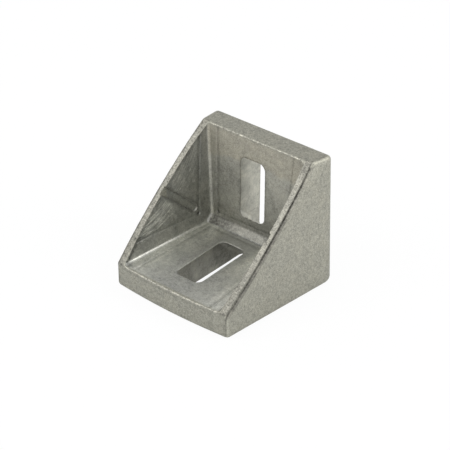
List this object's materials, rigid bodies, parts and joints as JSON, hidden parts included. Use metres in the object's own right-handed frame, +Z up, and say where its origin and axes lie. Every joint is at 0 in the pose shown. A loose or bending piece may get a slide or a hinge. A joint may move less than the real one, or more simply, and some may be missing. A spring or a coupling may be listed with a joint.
{
  "type": "t slot corner bracket",
  "caption": "Cast right-angle corner bracket for slotted framing, with side gussets and one bolt slot in each leg.",
  "frame": {"origin": "middle of the bottom of the casting's box, on the base leg's underside", "axes": "+Z up off the base leg's underside, +Y towards the back leg's outer face, X across the gussets"},
  "size_m": [0.0452, 0.0422, 0.037],
  "materials": {
    "casting": "as cast, tumbled, dull satin grey"
  },
  "bodies": {
    "root": {"corner_bracket": "casting"}
  },
  "joints": []
}
